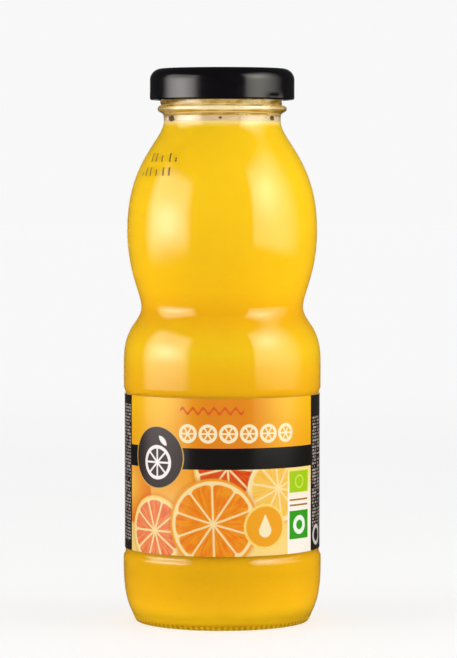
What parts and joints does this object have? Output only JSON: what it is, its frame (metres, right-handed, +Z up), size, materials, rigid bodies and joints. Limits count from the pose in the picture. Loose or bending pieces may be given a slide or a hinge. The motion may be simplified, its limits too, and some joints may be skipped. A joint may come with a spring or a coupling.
{
  "type": "glass bottle of orange juice",
  "caption": "Small waisted clear glass bottle filled with orange juice, closed by a black twist-off cap, with a printed label wrapped round its lower body.",
  "frame": {"origin": "centre of the bottle's foot, on the surface it stands on", "axes": "+Z up along the bottle's axis to the cap, -Y towards the middle of the label's front"},
  "size_m": [0.0562, 0.0562, 0.1563],
  "materials": {
    "glass": "clear, glossy, lightly rippled inside",
    "juice": "opaque cloudy yellow-orange drink",
    "cap": "black lacquered tin plate, satin gloss",
    "label": "printed coated paper, semi-gloss"
  },
  "bodies": {
    "root": {"glass_bottle": "glass", "orange_juice": "juice", "twist_cap": "cap", "label": "label"}
  },
  "joints": []
}
